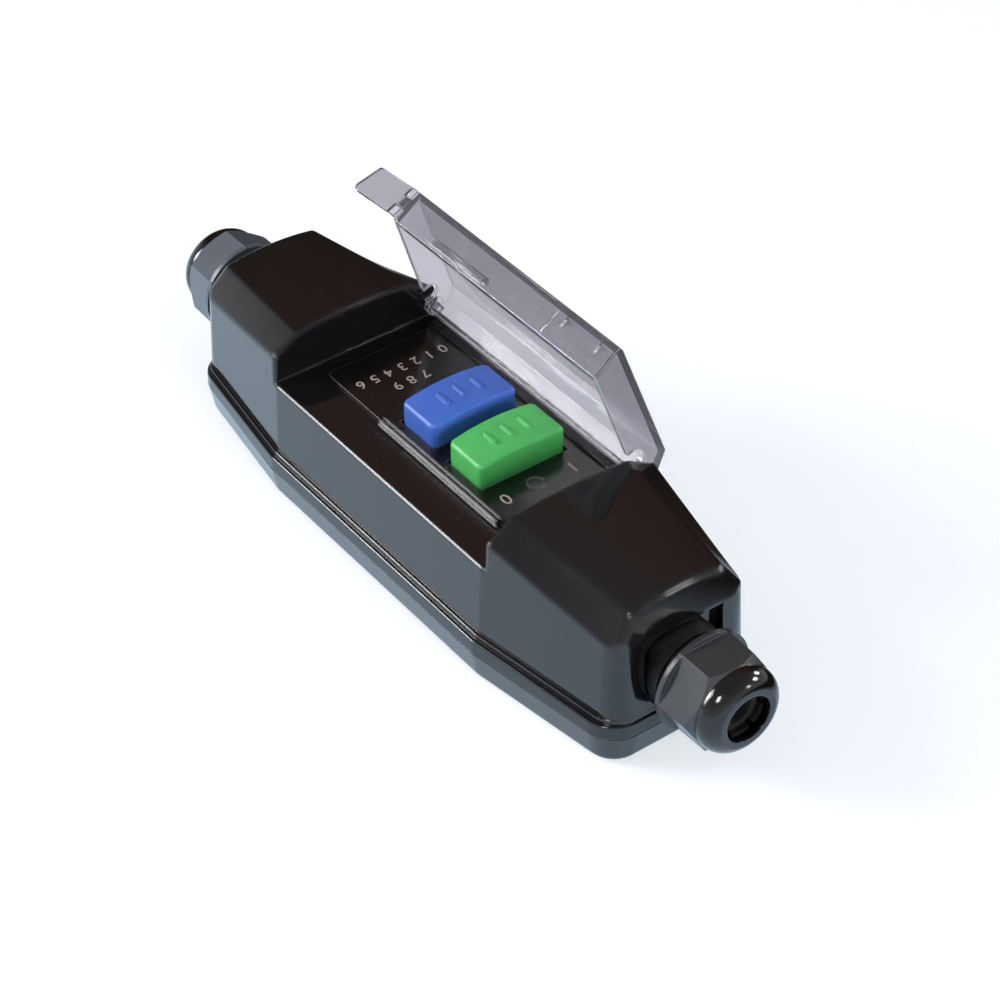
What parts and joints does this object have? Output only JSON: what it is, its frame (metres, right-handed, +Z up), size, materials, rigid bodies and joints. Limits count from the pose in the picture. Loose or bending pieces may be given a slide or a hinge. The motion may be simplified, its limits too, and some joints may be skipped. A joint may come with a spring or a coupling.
{
  "type": "inline residual current device",
  "caption": "Inline residual current device: tapered two-part housing with hooded ends, clear hinged cover, two push buttons, indicator window and a cable gland at each end.",
  "frame": {"origin": "middle of the flat underside, halfway between the two hoods", "axes": "+X along the length towards the load end, +Y towards the cover's hinge, +Z up out of the buttons"},
  "size_m": [0.2286, 0.0595, 0.0785],
  "materials": {
    "black_shell": "gloss",
    "black_tray": "gloss",
    "black_fascia": "satin",
    "clear_cover": "clear",
    "clear_window": "clear",
    "blue_button": "satin",
    "green_button": "satin",
    "gasket_rubber": "matt",
    "seal_rubber": "matt",
    "dome_rubber": "matt",
    "screw_steel": "bright zinc",
    "pin_steel": "bright",
    "board_green": "solder mask",
    "core_winding": "varnished wire",
    "brown_insulation": "satin",
    "blue_insulation": "satin",
    "green_yellow_insulation": "satin",
    "frame_steel": "zinc plated",
    "coil_copper": "varnished wire",
    "plunger_steel": "ground",
    "black_moulding": "matt",
    "white_moulding": "matt",
    "contact_brass": "bright",
    "flag_red": "matt",
    "capacitor_yellow": "satin",
    "varistor_blue": "satin",
    "terminal_brass": "bright",
    "claw_nylon": "matt",
    "gland_nylon": "gloss"
  },
  "bodies": {
    "housing": {"upper_housing": "black_shell", "lower_housing": "black_tray", "housing_gasket": "gasket_rubber", "fascia_plate": "black_fascia", "indicator_window": "clear_window", "housing_screws": "screw_steel", "hinge_pins": "pin_steel", "circuit_board": "board_green", "current_transformer": "core_winding", "supply_conductors": "brown_insulation", "load_conductors": "blue_insulation", "earth_conductor": "green_yellow_insulation", "solenoid_frame": "frame_steel", "solenoid_coil": "coil_copper", "test_switch": "black_moulding", "contact_yoke": "white_moulding", "fixed_contacts": "contact_brass", "film_capacitor": "capacitor_yellow", "varistor": "varistor_blue", "control_chip": "black_moulding", "terminal_bases": "white_moulding", "terminal_blocks": "terminal_brass", "terminal_screws": "screw_steel", "cable_clamp_bars": "black_moulding", "clamp_screws": "screw_steel", "near_gland_body": "gland_nylon", "far_gland_body": "gland_nylon", "gland_locknuts": "gland_nylon", "test_return_dome": "dome_rubber", "reset_return_dome": "dome_rubber"},
    "lid": {"clear_lid": "clear_cover"},
    "pull_tab": {"lid_pull_tab": "clear_cover"},
    "test_button": {"test_button": "blue_button"},
    "reset_button": {"reset_button": "green_button"},
    "plunger": {"solenoid_plunger": "plunger_steel"},
    "carrier": {"contact_carrier": "white_moulding", "moving_contacts": "contact_brass"},
    "flag": {"indicator_flag": "flag_red"},
    "near_clamp": {"near_clamping_claw": "claw_nylon", "near_gland_seal": "seal_rubber"},
    "near_nut": {"near_gland_nut": "gland_nylon"},
    "far_clamp": {"far_clamping_claw": "claw_nylon", "far_gland_seal": "seal_rubber"},
    "far_nut": {"far_gland_nut": "gland_nylon"}
  },
  "joints": [
    {"name": "lid_hinge", "type": "hinge", "parent": "housing", "child": "lid", "pos_m": [0, 0.0234, 0.0393], "axis": [-1, 0, 0], "range_deg": [-71, 4]},
    {"name": "pull_tab_fold", "type": "hinge", "parent": "lid", "child": "pull_tab", "pos_m": [-0.0429, 0.01478, 0.07556], "axis": [0, 0.9044, 0.4266], "range_deg": [-6, 101]},
    {"name": "test_press", "type": "slide", "parent": "housing", "child": "test_button", "axis": [0, 0, -1], "range_m": [0, 0.0022], "stiffness_N_per_m": 900, "springref_m": -0.001, "deforming": ["test_return_dome"]},
    {"name": "reset_press", "type": "slide", "parent": "housing", "child": "reset_button", "axis": [0, 0, -1], "range_m": [0, 0.0022], "stiffness_N_per_m": 900, "springref_m": -0.001, "deforming": ["reset_return_dome"]},
    {"name": "plunger_pull", "type": "slide", "parent": "housing", "child": "plunger", "axis": [-1, 0, 0], "range_m": [0, 0.002], "stiffness_N_per_m": 150, "springref_m": -0.001},
    {"name": "contact_lift", "type": "slide", "parent": "housing", "child": "carrier", "axis": [0, 0, 1], "range_m": [0, 0.0022], "stiffness_N_per_m": 300, "springref_m": -0.001},
    {"name": "flag_slide", "type": "slide", "parent": "housing", "child": "flag", "axis": [0, 1, 0], "range_m": [0, 0.004]},
    {"name": "near_gland_travel", "type": "slide", "parent": "housing", "child": "near_clamp", "axis": [1, 0, 0], "range_m": [-0.0014, 0.0046]},
    {"name": "near_nut_turn", "type": "hinge", "parent": "near_clamp", "child": "near_nut", "pos_m": [0.1, 0, 0.023], "axis": [1, 0, 0], "range_deg": [-340, 1108]},
    {"name": "far_gland_travel", "type": "slide", "parent": "housing", "child": "far_clamp", "axis": [-1, 0, 0], "range_m": [-0.004, 0.002]},
    {"name": "far_nut_turn", "type": "hinge", "parent": "far_clamp", "child": "far_nut", "pos_m": [-0.1, 0, 0.023], "axis": [-1, 0, 0], "range_deg": [-964, 484]}
  ],
  "couplings": [
    {"joint": "pull_tab_fold", "follows": "lid_hinge", "ratio": -1.41},
    {"joint": "flag_slide", "follows": "contact_lift", "ratio": 1.8181},
    {"joint": "near_nut_turn", "follows": "near_gland_travel", "rad_per_m": 4188.8},
    {"joint": "far_nut_turn", "follows": "far_gland_travel", "rad_per_m": 4188.8}
  ]
}
